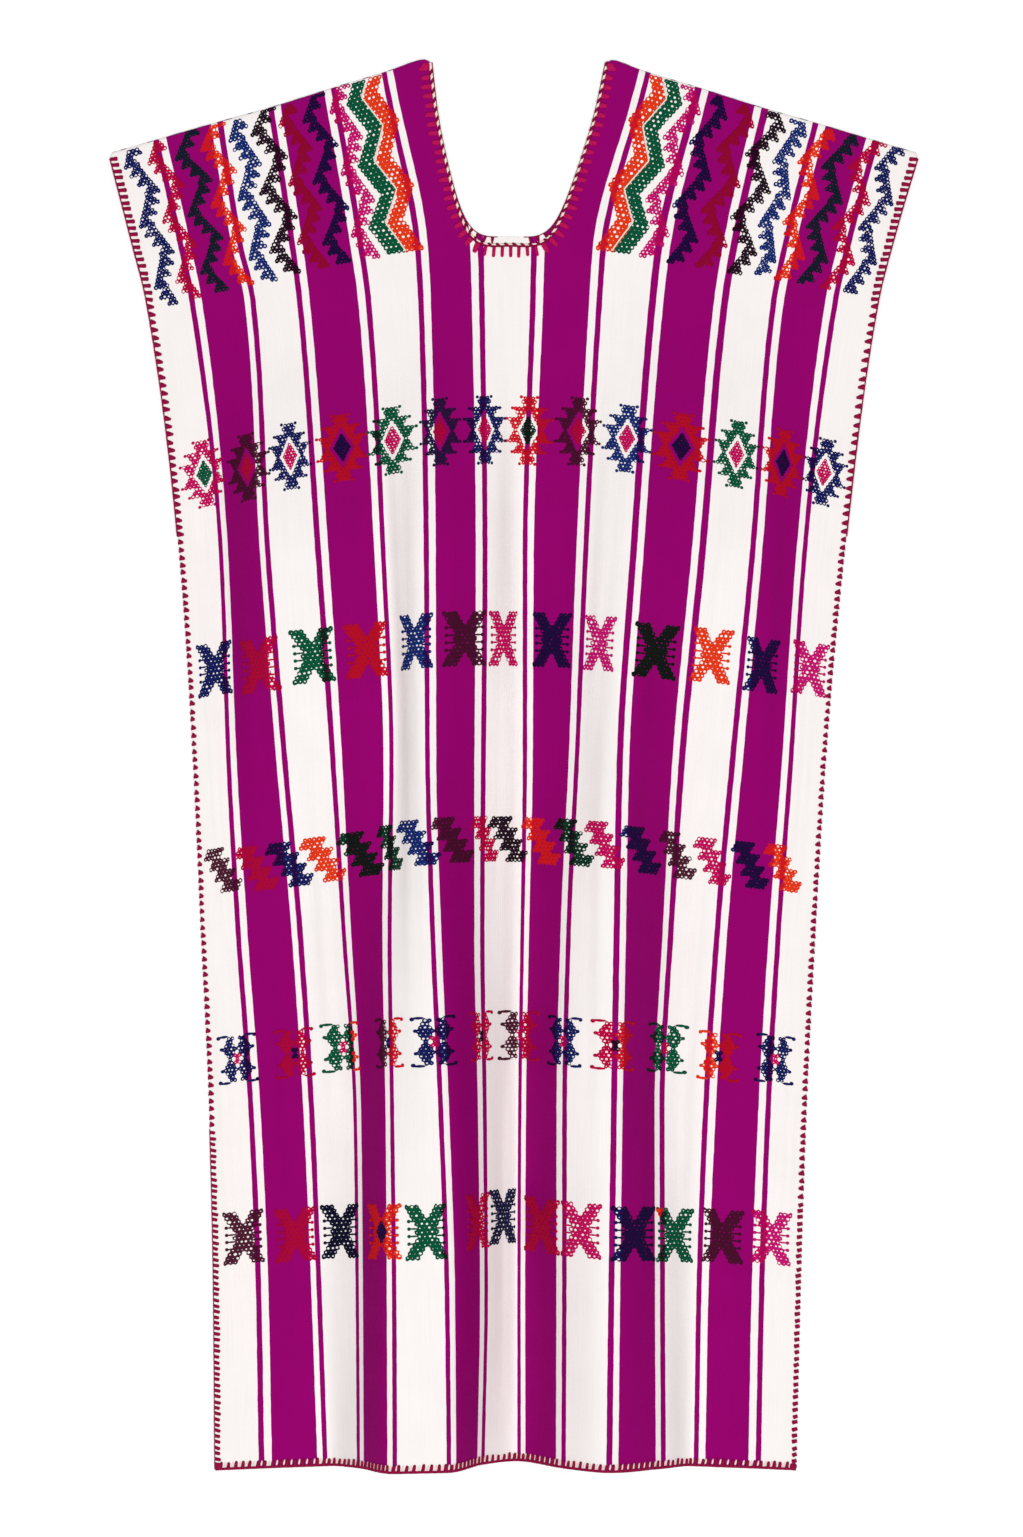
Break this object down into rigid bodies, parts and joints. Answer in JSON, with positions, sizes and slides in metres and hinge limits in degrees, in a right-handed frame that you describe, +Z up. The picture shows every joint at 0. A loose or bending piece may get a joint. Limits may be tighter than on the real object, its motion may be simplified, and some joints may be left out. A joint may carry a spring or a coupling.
{
  "type": "huipil blouse",
  "caption": "Square-cut handwoven blouse laid flat: one web folded at the shoulders, front over back, with a neck slot, open armholes and two long soft folds.",
  "frame": {"origin": "under the middle of the laid blouse, on the surface that it lies on", "axes": "+Y from the hem to the shoulders, +X to the viewer's right as the front is looked down on, +Z up out of the front"},
  "size_m": [0.6451, 1.1254, 0.0731],
  "materials": {
    "striped_cotton": "plain weave cotton with warp stripes and brocaded rows"
  },
  "bodies": {
    "root": {"front_panel": "striped_cotton", "back_panel": "striped_cotton"}
  },
  "joints": []
}
